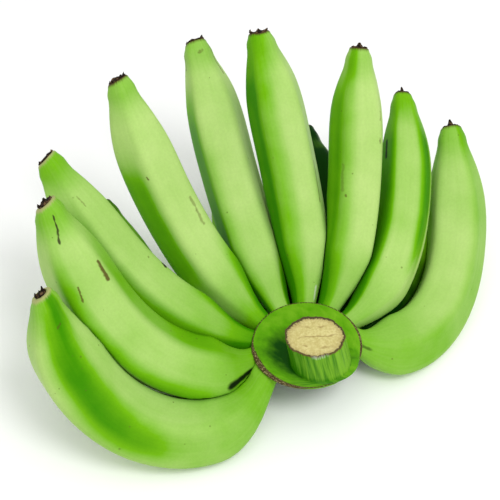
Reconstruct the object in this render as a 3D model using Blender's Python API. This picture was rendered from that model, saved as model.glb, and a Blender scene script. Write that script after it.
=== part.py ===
"""A hand of green bananas with its length of stalk, resting on a table.

Nine bananas stand in an upper row round the crown and seven shorter ones lie in a row
below them, one under each gap. Every banana is a solid of its own that meets the crown
at its neck and ends in its dried flower. Metres, +Z up; the open side of the hand,
where no banana grows, faces -Y.
"""
from collections import namedtuple

import bmesh
import bpy
import numpy as np
from mathutils import Vector

MM = 0.001

# Crown and stalk. The rim is where the upper necks break off the crown's top face
RIM_RADIUS = 34.6 * MM
RIM_HEIGHT = 44 * MM
RIM_THICKNESS = 4 * MM
RIM_SLOPE = 2 * MM
CROWN_SIDES = 48
CROWN_WAIST_HEIGHT = 26 * MM
CROWN_WAIST_WIDTH = 62 * MM
CROWN_WAIST_DEPTH = 55 * MM
CROWN_WAIST_BACK = 5.5 * MM
CROWN_FOOT_HEIGHT = 8 * MM
CROWN_FOOT_WIDTH = 44 * MM
CROWN_FOOT_DEPTH = 34 * MM
CROWN_FOOT_BACK = 11 * MM
STALK_WIDTH = 36.4 * MM
STALK_DEPTH = 31.4 * MM
STALK_RIGHT = 4.9 * MM
STALK_FRONT = 17.6 * MM
STALK_RISE = 31 * MM
STALK_LEAN = 5 * MM
STALK_ROOT_SPREAD = 1.05
COLLAR_RISE = 1.5 * MM

# Where the two rows of necks leave the crown. Angles run round the crown, in degrees
NECK_RADIUS = 32 * MM
ROOT_DEPTH = 6 * MM
ROW_STEP = 24
UPPER_ROW_START = 212
UPPER_ROW_HEIGHT = 36 * MM
LOWER_ROW_START = 176
LOWER_ROW_HEIGHT = 19 * MM

# Shape of one banana, as shares of its length and girth
BEND_AT_NECK = 1.8
NECK_GIRTH = 0.40
TIP_SHARE = 0.40
TIP_BLUNTNESS = 3.2
TIP_EASE = 1.5
RIDGES = 5
RIDGE_SHARPNESS = 9.0
FACET_DEPTH = 0.95
RIDGE_AT_ENDS = 0.25
RIDGE_FADE = 0.25

# Dried flower at the tip
SCAR_THICKNESS = 0.8 * MM
SCAR_SHARE = 0.84
NUB_FOOT = 1.6 * MM
NUB_SHARE = 0.34
NUB_LENGTH = 4.0 * MM
NUB_END_SHARE = 0.17

# Room kept between neighbours that press on each other, and the level they rest at
NECK_GAP = 0.35 * MM
SKIN_GAP = 1.4 * MM
TABLE_LEVEL = 1.2 * MM
CUT_RISE = 60 * MM

# Fineness of the mesh. END_CROWDING draws rings towards the neck and the tip
SIDES = 20
CENTRELINE_STEPS = 64
FLATTEN_STEPS = 14
END_CROWDING = 0.5
SHARP_ANGLE = 40

# In each row the first banana is the front left one. lead is how far its neck turns aside
# as it leaves the crown, dip its first slope, rise and sweep how far it bends up and round
# on the way to the tip, all in degrees. length, neck, girth and tip are in millimetres:
# tip is how wide the banana ends. roll turns the ridges round the banana, in degrees.
Banana = namedtuple("Banana", "lead dip rise sweep length neck girth tip roll")

UPPER_ROW = (
    Banana(22, -46, 119, -88, 207, 48, 45, 12.5, 12),
    Banana(24, -2, 66, -78, 190, 36, 41, 13.5, 16),
    Banana(12, 7, 50, -31, 186, 48, 36, 13.5, -2),
    Banana(2, 11, 55, -10, 191, 50, 36, 13, -3),
    Banana(-1, 10, 44, -5, 190, 52, 36, 13.5, -15),
    Banana(-8, 22, 45, 36, 187, 52, 36, 13, 10),
    Banana(-9, 18, 51, 38, 179, 48, 34, 11.5, 30),
    Banana(-11, 3, 42, 64, 167, 44, 33, 11.5, 22),
    Banana(-19, -43, 94, 100, 202, 34, 39, 13.5, -12),
)

LOWER_ROW = (
    Banana(12, -11, 31, -30, 130, 44, 33, 12, 0),
    Banana(14, -15, 40, -46, 155, 44, 28, 11, 0),
    Banana(-18, -15, 33, -12, 148, 44, 34, 12, 0),
    Banana(-7, -16, 40, -8, 140, 44, 34, 12, 0),
    Banana(-1, -13, 30, 16, 172, 44, 36, 12, 0),
    Banana(6, -14, 28, 22, 150, 44, 34, 12, 0),
    Banana(17, -15, 33, 16, 125, 44, 33, 12, 0),
)

UPPER_STATIONS = 14
LOWER_STATIONS = 9

BANANA_ROUGHNESS = 0.45
STALK_ROUGHNESS = 0.5
BANANA_GREEN = (0.30, 0.55, 0.06)
BANANA_DEEP_GREEN = (0.16, 0.42, 0.03)
STALK_GREEN = (0.17, 0.38, 0.04)


def clear_scene():
    for old in list(bpy.data.objects):
        bpy.data.objects.remove(old, do_unlink=True)


def material(name, colour, roughness):
    """A plain skin in the part's own colour."""
    skin = bpy.data.materials.new(name)
    skin.use_nodes = True
    shader = skin.node_tree.nodes["Principled BSDF"]
    shader.inputs["Base Color"].default_value = (*colour, 1.0)
    shader.inputs["Roughness"].default_value = roughness
    shader.inputs["Metallic"].default_value = 0.0
    skin.diffuse_color = (*colour, 1.0)
    return skin


def loft(rings):
    """A closed skin through rings of points: the first is drawn, each next one extruded."""
    mesh = bmesh.new()
    drawn = bmesh.ops.create_circle(mesh, segments=len(rings[0]), radius=1.0)["verts"]
    place = {vert: number for number, vert in enumerate(drawn)}
    for vert, number in place.items():
        vert.co = rings[0][number]
    edges = mesh.edges[:]
    bmesh.ops.contextual_create(mesh, geom=edges)
    for ring in rings[1:]:
        grown = bmesh.ops.extrude_edge_only(mesh, edges=edges)["geom"]
        edges = [item for item in grown if isinstance(item, bmesh.types.BMEdge) and item.is_boundary]
        next_place = {}
        for vert in (item for item in grown if isinstance(item, bmesh.types.BMVert)):
            below = next(e.other_vert(vert) for e in vert.link_edges if e.other_vert(vert) in place)
            next_place[vert] = place[below]
        for vert, number in next_place.items():
            vert.co = ring[number]
        place = next_place
    bmesh.ops.contextual_create(mesh, geom=edges)
    bmesh.ops.recalc_face_normals(mesh, faces=mesh.faces[:])
    return mesh


def add_object(name, mesh, skin):
    """Turn a finished mesh into a named object with round shading."""
    data = bpy.data.meshes.new(name)
    mesh.to_mesh(data)
    mesh.free()
    data.shade_smooth()
    data.set_sharp_from_angle(angle=np.radians(SHARP_ANGLE))
    data.materials.append(skin)
    thing = bpy.data.objects.new(name, data)
    bpy.context.scene.collection.objects.link(thing)
    return thing


def oval(width, depth, right, front, height):
    """A level oval ring of points."""
    turns = np.arange(CROWN_SIDES) * 2 * np.pi / CROWN_SIDES
    x = right + width / 2 * np.cos(turns)
    y = -front + depth / 2 * np.sin(turns)
    return np.stack([x, y, np.full_like(x, height)], axis=-1)


def crown_wall(spread=0.0):
    """The crown's sides from its foot up to the rim, pushed out by the given spread."""
    grow = 2 * spread
    foot = oval(CROWN_FOOT_WIDTH + grow, CROWN_FOOT_DEPTH + grow, 0, -CROWN_FOOT_BACK,
                CROWN_FOOT_HEIGHT - spread)
    waist = oval(CROWN_WAIST_WIDTH + grow, CROWN_WAIST_DEPTH + grow, 0, -CROWN_WAIST_BACK,
                 CROWN_WAIST_HEIGHT)
    rim_low = oval(2 * RIM_RADIUS - RIM_SLOPE + grow, 2 * RIM_RADIUS - RIM_SLOPE + grow, 0,
                   -RIM_SLOPE, RIM_HEIGHT - RIM_THICKNESS)
    rim_top = oval(2 * RIM_RADIUS + grow, 2 * RIM_RADIUS + grow, 0, 0, RIM_HEIGHT)
    return [foot, waist, rim_low, rim_top]


def make_stalk():
    """Crown and stalk in one: the wall, the sloping collar and the cut stump on it."""
    spread = STALK_ROOT_SPREAD
    root = oval(STALK_WIDTH * spread, STALK_DEPTH * spread, STALK_RIGHT + STALK_LEAN, STALK_FRONT,
                RIM_HEIGHT + COLLAR_RISE)
    top = oval(STALK_WIDTH, STALK_DEPTH, STALK_RIGHT, STALK_FRONT, RIM_HEIGHT + STALK_RISE)
    rings = crown_wall() + [root, top]
    return add_object("stalk", loft(rings), material("stalk_skin", STALK_GREEN, STALK_ROUGHNESS))


def neck_cutter():
    """What the crown takes out of the necks: its wall, wider by the gap, and the air above."""
    wall = crown_wall(NECK_GAP)
    above = wall[-1] + np.array([0, 0, CUT_RISE])
    cutter = add_object("neck_cutter", loft(wall + [above]), material("cutter", STALK_GREEN, STALK_ROUGHNESS))
    cutter.hide_render = True
    cutter.display_type = "WIRE"
    return cutter


def centreline(banana, crown_angle, row_height):
    """Points down the middle of a banana, with the way it heads at each of them."""
    along = np.linspace(0, 1, CENTRELINE_STEPS + 1)
    bent = 1 - (1 - along) ** BEND_AT_NECK
    azimuth = np.radians(crown_angle + banana.lead + banana.sweep * bent)
    slope = np.radians(banana.dip + banana.rise * bent)
    heading = np.stack([np.cos(slope) * np.cos(azimuth), np.cos(slope) * np.sin(azimuth),
                        np.sin(slope)], axis=-1)
    step = banana.length * MM / CENTRELINE_STEPS
    start = np.array([NECK_RADIUS * np.cos(np.radians(crown_angle)),
                      NECK_RADIUS * np.sin(np.radians(crown_angle)), row_height])
    points = np.empty_like(heading)
    points[0] = start
    points[1:] = start + np.cumsum((heading[1:] + heading[:-1]) / 2 * step, axis=0)
    return points, heading


def fullness(along, banana):
    """Share of the full girth at a place along a banana: slim neck, full belly, blunt tip."""
    grown = np.clip(along * banana.length / banana.neck, 0, 1)
    swell = grown * grown * (3 - 2 * grown)
    near_tip = np.clip(1 - (1 - along) / TIP_SHARE, 0, 1)
    closed = 1 - (1 - near_tip ** TIP_BLUNTNESS) ** TIP_EASE
    tip_girth = banana.tip / banana.girth
    return (NECK_GIRTH + (1 - NECK_GIRTH) * swell) * (1 - (1 - tip_girth) * closed)


def section(ridge):
    """Distance from the middle to the skin all round: a rounded pentagon where ridge is 1."""
    turns = np.arange(SIDES) * 2 * np.pi / SIDES
    facets = np.arange(RIDGES) * 2 * np.pi / RIDGES
    facing = np.clip(np.cos(turns[:, None] - facets[None, :]), 0, 1)
    pentagon = FACET_DEPTH * (facing ** RIDGE_SHARPNESS).sum(axis=1) ** (-1 / RIDGE_SHARPNESS)
    return ridge * pentagon + (1 - ridge)


def side_frames(heading):
    """A sideways and an upward direction at each point, carried along without twisting."""
    sides = np.empty_like(heading)
    ups = np.empty_like(heading)
    up = np.array([0.0, 0.0, 1.0])
    for number, ahead in enumerate(heading):
        up = up - ahead * up.dot(ahead)
        up = up / np.linalg.norm(up)
        ups[number] = up
        sides[number] = np.cross(ahead, up)
    return sides, ups


def station_places(count):
    """Places along a banana, closer together at the neck and the tip."""
    even = np.linspace(0, 1, count)
    crowded = (1 - np.cos(np.pi * even)) / 2
    return END_CROWDING * crowded + (1 - END_CROWDING) * even


def ridge_strength(along):
    """How sharp the ridges are: soft at the neck and the tip, full along the body."""
    return RIDGE_AT_ENDS + (1 - RIDGE_AT_ENDS) * min(1, along / RIDGE_FADE, (1 - along) / RIDGE_FADE)


class Skin:
    """One banana laid out: its middle line, its reach there and its rings of skin points."""

    def __init__(self, banana, crown_angle, row_height, stations):
        points, heading = centreline(banana, crown_angle, row_height)
        root = points[0] - heading[0] * ROOT_DEPTH
        along = np.linspace(0, 1, CENTRELINE_STEPS + 1)
        self.points = np.vstack([root, points])
        self.reach = banana.girth / 2 * MM * fullness(np.append(0, along), banana)
        sides, ups = side_frames(heading)
        places = np.rint(station_places(stations) * CENTRELINE_STEPS).astype(int)
        self.middles = np.vstack([root, points[places]])
        self.reaches = self.reach[np.append(0, places + 1)]
        self.ahead = heading[-1]
        turns = np.radians(banana.roll) + np.arange(SIDES) * 2 * np.pi / SIDES
        spokes = []
        for place in np.append(0, places):
            round_way = np.sin(turns)[:, None] * sides[place] + np.cos(turns)[:, None] * ups[place]
            shape = section(ridge_strength(along[place])) * self.reach[place + 1]
            spokes.append(round_way * shape[:, None])
        self.spokes = np.array(spokes)

    def share_at(self, place):
        """How far places are from the middle line, as a share of the reach there."""
        away = np.linalg.norm(place[:, None, :] - self.points[None], axis=2)
        nearest = away.argmin(axis=1)
        return away[np.arange(len(place)), nearest] / self.reach[nearest]

    def press_against(self, neighbours):
        """Flatten the skin where it would run into a neighbour, half way between the two."""
        spokes = self.spokes.reshape(-1, 3)
        middles = np.repeat(self.middles, SIDES, axis=0)
        reaches = np.repeat(self.reaches, SIDES)
        low = np.zeros(len(spokes))
        high = np.ones(len(spokes))
        scale = high
        for _ in range(FLATTEN_STEPS):
            places = middles + spokes * scale[:, None]
            own = np.linalg.norm(places - middles, axis=1) / reaches + SKIN_GAP / reaches
            free = np.all([other.share_at(places) > own for other in neighbours], axis=0)
            low = np.where(free, scale, low)
            high = np.where(free, high, scale)
            scale = (low + high) / 2
        self.spokes = (spokes * np.where(high >= 1, 1, low)[:, None]).reshape(self.spokes.shape)

    def rings(self):
        """Rings from the root inside the crown to the dried flower, with a flat where it rests."""
        middle = self.middles[-1]
        spokes = self.spokes[-1]
        scar = middle + spokes * SCAR_SHARE + self.ahead * SCAR_THICKNESS
        nub = middle + spokes * NUB_SHARE + self.ahead * NUB_FOOT
        nub_end = middle + spokes * NUB_END_SHARE + self.ahead * NUB_LENGTH
        rings = list(self.middles[:, None, :] + self.spokes) + [scar, nub, nub_end]
        for ring in rings:
            ring[:, 2] = np.maximum(ring[:, 2], TABLE_LEVEL)
        return rings


def lay_out(row, start, height, stations):
    return [Skin(banana, start - ROW_STEP * number, height, stations)
            for number, banana in enumerate(row)]


def make_banana(name, skin, cutter, colour):
    """One banana, cut off square where its neck meets the crown."""
    fruit = add_object(name, loft(skin.rings()), material(name + "_skin", colour, BANANA_ROUGHNESS))
    cut = fruit.modifiers.new("meet_crown", "BOOLEAN")
    cut.operation = "DIFFERENCE"
    cut.solver = "EXACT"
    cut.object = cutter
    return fruit


def stand_on_origin(things):
    """Move everything so that the middle of the underside of the box is the origin."""
    bpy.context.view_layer.update()
    graph = bpy.context.evaluated_depsgraph_get()
    corners = [Vector(corner) for thing in things for corner in thing.evaluated_get(graph).bound_box]
    lowest = Vector([min(corner[axis] for corner in corners) for axis in range(3)])
    highest = Vector([max(corner[axis] for corner in corners) for axis in range(3)])
    middle = (lowest + highest) / 2
    shift = Vector((middle.x, middle.y, lowest.z))
    for thing in bpy.data.objects:
        thing.location -= shift


def main():
    clear_scene()
    stalk = make_stalk()
    cutter = neck_cutter()
    upper = lay_out(UPPER_ROW, UPPER_ROW_START, UPPER_ROW_HEIGHT, UPPER_STATIONS)
    lower = lay_out(LOWER_ROW, LOWER_ROW_START, LOWER_ROW_HEIGHT, LOWER_STATIONS)
    everyone = upper + lower
    for skin in everyone:
        skin.press_against([other for other in everyone if other is not skin])
    things = [stalk]
    for number, skin in enumerate(upper, start=1):
        things.append(make_banana(f"upper_banana_{number}", skin, cutter, BANANA_GREEN))
    for number, skin in enumerate(lower, start=1):
        things.append(make_banana(f"lower_banana_{number}", skin, cutter, BANANA_DEEP_GREEN))
    stand_on_origin(things)


main()
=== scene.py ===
# %% [markdown]
# A hand of green bananas, lying on a table
#
# Nine bananas fan out of an upper row round a crown, seven shorter ones lie below them, and a short
# length of cut stalk stands on the crown. The imported model is loaded first and never moved: every
# banana and the crown with its stalk made here take the place of one of its solids, in finer form and
# with its finish, and a dried flower is added on every tip.

# %% Load the imported model
from collections import namedtuple

import bmesh
import bpy
import numpy as np
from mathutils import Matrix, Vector


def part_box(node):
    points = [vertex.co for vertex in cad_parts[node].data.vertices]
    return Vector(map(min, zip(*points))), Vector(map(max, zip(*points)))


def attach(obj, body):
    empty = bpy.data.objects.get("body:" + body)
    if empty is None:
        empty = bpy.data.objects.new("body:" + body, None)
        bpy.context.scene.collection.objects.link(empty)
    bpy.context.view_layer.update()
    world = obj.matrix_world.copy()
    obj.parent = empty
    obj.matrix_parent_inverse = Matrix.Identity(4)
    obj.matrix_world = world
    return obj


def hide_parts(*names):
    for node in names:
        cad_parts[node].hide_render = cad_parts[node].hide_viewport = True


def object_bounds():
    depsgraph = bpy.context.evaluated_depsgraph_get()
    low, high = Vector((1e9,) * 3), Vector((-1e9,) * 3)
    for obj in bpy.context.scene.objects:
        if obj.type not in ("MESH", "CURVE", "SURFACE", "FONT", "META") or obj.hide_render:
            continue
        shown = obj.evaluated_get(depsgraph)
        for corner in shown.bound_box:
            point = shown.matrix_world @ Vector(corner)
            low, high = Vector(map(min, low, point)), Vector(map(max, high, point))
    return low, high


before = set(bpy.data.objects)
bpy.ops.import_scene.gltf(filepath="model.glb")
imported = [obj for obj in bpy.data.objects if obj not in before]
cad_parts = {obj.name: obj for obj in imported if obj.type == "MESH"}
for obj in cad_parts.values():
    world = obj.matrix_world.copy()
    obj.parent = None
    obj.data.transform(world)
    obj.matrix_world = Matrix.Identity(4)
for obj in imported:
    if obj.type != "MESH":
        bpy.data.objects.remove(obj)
packed_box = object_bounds()
MM = 0.001

# %% [markdown]
# Where the crown stands
#
# All measures of the hand are taken from the middle of the crown's rim, at the level where the
# drawing of the hand starts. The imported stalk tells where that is, so nothing is fitted by eye.

# %% Find the crown
RIM_RADIUS = 34.6 * MM
RIM_HEIGHT = 44 * MM
RIM_SLOPE = 2 * MM
CROWN_FOOT_HEIGHT = 8 * MM
TABLE_LEVEL = 1.2 * MM

stalk_low, stalk_high = (Vector(corner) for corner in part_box("stalk"))
crown = Vector(((stalk_low.x + stalk_high.x) / 2, stalk_high.y - RIM_RADIUS - RIM_SLOPE / 2,
                stalk_low.z - CROWN_FOOT_HEIGHT))
print("middle of the crown, mm:", [round(value / MM, 1) for value in crown])

# %% [markdown]
# The camera
#
# The hand is seen from the open side, from half way up. A long lens keeps the near and the far
# bananas at almost the same scale, as they are in the photograph.

# %% Place the camera
CAMERA_PLACE = Vector((-35.6, -532.5, 772)) * MM
CAMERA_TILT = np.radians(40)
FOCAL_LENGTH, SENSOR_WIDTH = 103.7, 36
NEAR_LIMIT = 50 * MM


def put_in_scene(name, data):
    thing = bpy.data.objects.new(name, data)
    bpy.context.scene.collection.objects.link(thing)
    return thing


lens = bpy.data.cameras.new("camera")
lens.lens = FOCAL_LENGTH
lens.sensor_width = SENSOR_WIDTH
lens.clip_start = NEAR_LIMIT
camera = put_in_scene("camera", lens)
camera.location = crown + CAMERA_PLACE
camera.rotation_euler = (CAMERA_TILT, 0, 0)
bpy.context.scene.camera = camera
print("camera at, mm:", [round(value / MM) for value in camera.location])

# %% [markdown]
# How one banana grows
#
# A banana leaves the crown on a slim neck and bends up towards the light, most of it near the neck.
# It could be one cylinder bent by a curve modifier, but then every banana would bend alike. Here each
# has its own row of numbers: how far the neck turns aside, the first slope, how far it rises and
# sweeps round, its length, the length of its neck, its girth, the width of its tip and how its
# ridges are turned.

# %% List the bananas
Banana = namedtuple("Banana", "lead dip rise sweep length neck girth tip roll")

UPPER_ROW = (
    Banana(22, -46, 119, -88, 207, 48, 45, 12.5, 12),
    Banana(24, -2, 66, -78, 190, 36, 41, 13.5, 16),
    Banana(12, 7, 50, -31, 186, 48, 36, 13.5, -2),
    Banana(2, 11, 55, -10, 191, 50, 36, 13, -3),
    Banana(-1, 10, 44, -5, 190, 52, 36, 13.5, -15),
    Banana(-8, 22, 45, 36, 187, 52, 36, 13, 10),
    Banana(-9, 18, 51, 38, 179, 48, 34, 11.5, 30),
    Banana(-11, 3, 42, 64, 167, 44, 33, 11.5, 22),
    Banana(-19, -43, 94, 100, 202, 34, 39, 13.5, -12),
)

LOWER_ROW = (
    Banana(12, -11, 31, -30, 130, 44, 33, 12, 0),
    Banana(14, -15, 40, -46, 155, 44, 28, 11, 0),
    Banana(-18, -15, 33, -12, 148, 44, 34, 12, 0),
    Banana(-7, -16, 40, -8, 140, 44, 34, 12, 0),
    Banana(-1, -13, 30, 16, 172, 44, 36, 12, 0),
    Banana(6, -14, 28, 22, 150, 44, 34, 12, 0),
    Banana(17, -15, 33, 16, 125, 44, 33, 12, 0),
)
ROW_STEP = 24
UPPER_ROW_START = 212
UPPER_ROW_HEIGHT = 36 * MM
LOWER_ROW_START = 176
LOWER_ROW_HEIGHT = 19 * MM
print("bananas:", len(UPPER_ROW) + len(LOWER_ROW))

# %% [markdown]
# The middle line
#
# The line down the middle of a banana is walked in short steps. At each step the heading has turned a
# little further, fast at first and then slower, which puts the bend near the neck.

# %% Walk a middle line
NECK_RADIUS = 32 * MM
BEND_AT_NECK = 1.8
LINE_STEPS = 96


def middle_line(banana, crown_angle, row_height):
    """Points down the middle of a banana, with the way it heads at each of them."""
    along = np.linspace(0, 1, LINE_STEPS + 1)
    bent = 1 - (1 - along) ** BEND_AT_NECK
    azimuth = np.radians(crown_angle + banana.lead + banana.sweep * bent)
    slope = np.radians(banana.dip + banana.rise * bent)
    heading = np.stack([np.cos(slope) * np.cos(azimuth), np.cos(slope) * np.sin(azimuth),
                        np.sin(slope)], axis=-1)
    step = banana.length * MM / LINE_STEPS
    start = np.array([NECK_RADIUS * np.cos(np.radians(crown_angle)),
                      NECK_RADIUS * np.sin(np.radians(crown_angle)), row_height])
    walked = np.cumsum((heading[1:] + heading[:-1]) / 2 * step, axis=0)
    return np.vstack([start, start + walked]), heading


first_line, _ = middle_line(UPPER_ROW[0], UPPER_ROW_START, UPPER_ROW_HEIGHT)
print("front left banana ends at, mm:", np.round(first_line[-1] / MM))

# %% [markdown]
# How thick a banana is
#
# From its slim neck a banana swells to its full girth, keeps it for most of its length, and closes in
# a short blunt cone at the tip.

# %% Give the thickness along the line
NECK_GIRTH = 0.40
TIP_SHARE = 0.40
TIP_BLUNTNESS = 3.2
TIP_EASE = 1.5


def fullness(along, banana):
    """Share of the full girth at a place along a banana."""
    grown = np.clip(along * banana.length / banana.neck, 0, 1)
    swell = grown * grown * (3 - 2 * grown)
    near_tip = np.clip(1 - (1 - along) / TIP_SHARE, 0, 1)
    closed = 1 - (1 - near_tip ** TIP_BLUNTNESS) ** TIP_EASE
    tip_girth = banana.tip / banana.girth
    return (NECK_GIRTH + (1 - NECK_GIRTH) * swell) * (1 - (1 - tip_girth) * closed)


shares = fullness(np.array([0, 0.5, 1]), UPPER_ROW[3])
print("share of the girth at neck, middle and tip:", np.round(shares, 2))

# %% [markdown]
# The five-sided section
#
# An unripe banana isn't round: it has five soft ridges with almost flat faces between them. A power
# mean of five directions gives a pentagon with rounded corners. At the neck and at the tip the ridges
# fade into a round section. Turns are counted from the underside, where the seam of the peel's map
# is out of sight.

# %% Draw the section
SIDES = 50
TURNS = np.pi + np.arange(SIDES) * 2 * np.pi / SIDES
RIDGES = 5
RIDGE_SHARPNESS = 11.0
FACET_DEPTH = 0.945
RIDGE_AT_ENDS = 0.30
RIDGE_FADE = 0.22


def section(ridge):
    """Distance from the middle to the skin all round: a rounded pentagon where ridge is 1."""
    facets = np.arange(RIDGES) * 2 * np.pi / RIDGES
    facing = np.clip(np.cos(TURNS[:, None] - facets[None, :]), 0, 1)
    pentagon = FACET_DEPTH * (facing ** RIDGE_SHARPNESS).sum(axis=1) ** (-1 / RIDGE_SHARPNESS)
    return ridge * pentagon + (1 - ridge)


def ridge_strength(along):
    """How sharp the ridges are at a place along a banana."""
    return RIDGE_AT_ENDS + (1 - RIDGE_AT_ENDS) * min(1, along / RIDGE_FADE, (1 - along) / RIDGE_FADE)


print("section from face to ridge:", np.round([section(1).min(), section(1).max()], 3))

# %% [markdown]
# Rings of skin
#
# Rings of points are laid along the middle line. The frame that carries them is handed from step to
# step without twisting, so the ridges run straight down the banana.

# %% Lay the rings
RINGS = 60
ROOT_DEPTH = 9 * MM
END_CROWDING = 0.6


def carried_frames(heading):
    """A sideways and an upward direction at each point, carried along without twisting."""
    sides = np.empty_like(heading)
    ups = np.empty_like(heading)
    up = np.array([0.0, 0.0, 1.0])
    for number, ahead in enumerate(heading):
        up = up - ahead * up.dot(ahead)
        up = up / np.linalg.norm(up)
        ups[number] = up
        sides[number] = np.cross(ahead, up)
    return sides, ups


def ring_places():
    """Steps of the middle line that get a ring, closer together at the neck and the tip."""
    even = np.linspace(0, 1, RINGS)
    crowded = (1 - np.cos(np.pi * even)) / 2
    share = END_CROWDING * crowded + (1 - END_CROWDING) * even
    return np.unique(np.rint(share * LINE_STEPS).astype(int))


print("rings on a banana:", len(ring_places()))

# %% [markdown]
# Bananas press on each other
#
# Bananas in a hand grow into each other and flatten where they touch. Each point of skin is drawn
# in until it is no nearer to its neighbour's middle line than to its own, both taken as a share of
# the thickness there. That leaves a flat seat between two bananas, with the gap of a hair.

# %% Flatten the skins
SKIN_GAP = 0.15 * MM
FLATTEN_STEPS = 11
NEAR_NEIGHBOUR = 3 * MM


class Skin:
    """One banana laid out: its middle line, its thickness there and its spokes to the skin."""

    def __init__(self, banana, crown_angle, row_height):
        points, heading = middle_line(banana, crown_angle, row_height)
        root = points[0] - heading[0] * ROOT_DEPTH
        along = np.linspace(0, 1, LINE_STEPS + 1)
        self.banana = banana
        self.points = np.vstack([root, points])
        self.reach = banana.girth / 2 * MM * fullness(np.append(0, along), banana)
        sides, ups = carried_frames(heading)
        places = ring_places()
        self.middles = np.vstack([root, points[places]])
        self.reaches = self.reach[np.append(0, places + 1)]
        self.along = np.append(-ROOT_DEPTH / (banana.length * MM), along[places])
        self.ahead = heading[-1]
        turns = np.radians(banana.roll) + TURNS
        spokes = []
        for place in np.append(0, places):
            round_way = np.sin(turns)[:, None] * sides[place] + np.cos(turns)[:, None] * ups[place]
            shape = section(ridge_strength(along[place])) * self.reach[place + 1]
            spokes.append(round_way * shape[:, None])
        self.spokes = np.array(spokes)
        self.side, self.up = sides[-1], ups[-1]

    def share_at(self, place):
        """How far places are from the middle line, as a share of the thickness there."""
        away = np.linalg.norm(place[:, None, :] - self.points[None], axis=2)
        nearest = away.argmin(axis=1)
        return away[np.arange(len(place)), nearest] / self.reach[nearest]

    def is_near(self, other):
        """Whether two bananas come close enough to press on each other."""
        away = np.linalg.norm(self.points[:, None] - other.points[None], axis=2)
        return (away < self.reach[:, None] + other.reach[None] + NEAR_NEIGHBOUR).any()

    def press_against(self, others):
        """Flatten the skin half way between this banana and each neighbour."""
        neighbours = [other for other in others if other is not self and self.is_near(other)]
        spokes = self.spokes.reshape(-1, 3)
        middles = np.repeat(self.middles, SIDES, axis=0)
        reaches = np.repeat(self.reaches, SIDES)
        low, high = np.zeros(len(spokes)), np.ones(len(spokes))
        scale = high
        for _ in range(FLATTEN_STEPS):
            places = middles + spokes * scale[:, None]
            own = (np.linalg.norm(places - middles, axis=1) + SKIN_GAP) / reaches
            free = np.all([other.share_at(places) > own for other in neighbours], axis=0)
            low = np.where(free, scale, low)
            high = np.where(free, high, scale)
            scale = (low + high) / 2
        self.spokes = (spokes * np.where(high >= 1, 1, low)[:, None]).reshape(self.spokes.shape)


def lay_out(row, start, height):
    return [Skin(banana, start - ROW_STEP * number, height) for number, banana in enumerate(row)]


upper = lay_out(UPPER_ROW, UPPER_ROW_START, UPPER_ROW_HEIGHT)
lower = lay_out(LOWER_ROW, LOWER_ROW_START, LOWER_ROW_HEIGHT)
for skin in upper + lower:
    skin.press_against(upper + lower)
print("skins laid out and pressed:", len(upper + lower))

# %% [markdown]
# From rings to a mesh
#
# The first ring is drawn as a circle and each next one is extruded from its edge and moved into
# place, as one would do by hand. A UV map is kept on the way: across it runs once round the banana
# and up it runs from the neck to the tip, so a scar can follow the skin.

# %% Make the loft helper
def loft(rings, heights):
    """A closed skin through rings of points, with a UV map of turn and height."""
    mesh = bmesh.new()
    count = len(rings[0])
    drawn = bmesh.ops.create_circle(mesh, segments=count, radius=1.0)["verts"]
    place = {vert: number for number, vert in enumerate(drawn)}
    where = {}
    for vert, number in place.items():
        vert.co = Vector(rings[0][number]) + crown
        where[vert] = (number / count, heights[0])
    edges = mesh.edges[:]
    bmesh.ops.contextual_create(mesh, geom=edges)
    for ring, height in zip(rings[1:], heights[1:]):
        grown = bmesh.ops.extrude_edge_only(mesh, edges=edges)["geom"]
        edges = [item for item in grown if isinstance(item, bmesh.types.BMEdge) and item.is_boundary]
        next_place = {}
        for vert in (item for item in grown if isinstance(item, bmesh.types.BMVert)):
            below = next(e.other_vert(vert) for e in vert.link_edges if e.other_vert(vert) in place)
            next_place[vert] = place[below]
        for vert, number in next_place.items():
            vert.co = Vector(ring[number]) + crown
            where[vert] = (number / count, height)
        place = next_place
    bmesh.ops.contextual_create(mesh, geom=edges)
    bmesh.ops.recalc_face_normals(mesh, faces=mesh.faces[:])
    write_uv(mesh, where)
    return mesh


def write_uv(mesh, where):
    """Write turn and height to the UV map; a face across the seam counts on past one turn."""
    layer = mesh.loops.layers.uv.new("peel")
    for face in mesh.faces:
        turns = [where[corner.vert][0] for corner in face.loops]
        crosses_seam = max(turns) - min(turns) > 0.5
        for corner in face.loops:
            turn, height = where[corner.vert]
            corner[layer].uv = (turn + 1 if crosses_seam and turn < 0.5 else turn, height)


def add_piece(name, mesh, materials, node=None):
    """Put a finished mesh in the scene as a piece of the hand."""
    data = bpy.data.meshes.new(name)
    mesh.to_mesh(data)
    mesh.free()
    data.shade_smooth()
    for skin in materials:
        data.materials.append(skin)
    piece = put_in_scene(name, data)
    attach(piece, "root")
    if node:
        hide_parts(node)
    return piece


print("loft helper ready")

# %% [markdown]
# Small helpers for the finishes
#
# Every finish here is a tree of nodes. Short helpers add a node, join sockets, do sums and start a
# group, so that the recipes below read as recipes. They write into the tree that was started last.

# %% Make the node helpers
class Recipe:
    """Holds the tree of nodes that is being written."""
    tree = None


def add_node(kind, **settings):
    node = Recipe.tree.nodes.new("ShaderNode" + kind)
    for name, value in settings.items():
        setattr(node, name, value)
    return node


def feed(socket, source):
    """Join a socket to a source, which is another socket or a plain value."""
    if isinstance(source, bpy.types.NodeSocket):
        Recipe.tree.links.new(source, socket)
    else:
        socket.default_value = source


def feed_all(node, **sources):
    """Feed a node's inputs by name; the names are written with low lines for spaces."""
    for name, source in sources.items():
        feed(node.inputs[name.replace("_", " ")], source)


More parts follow.
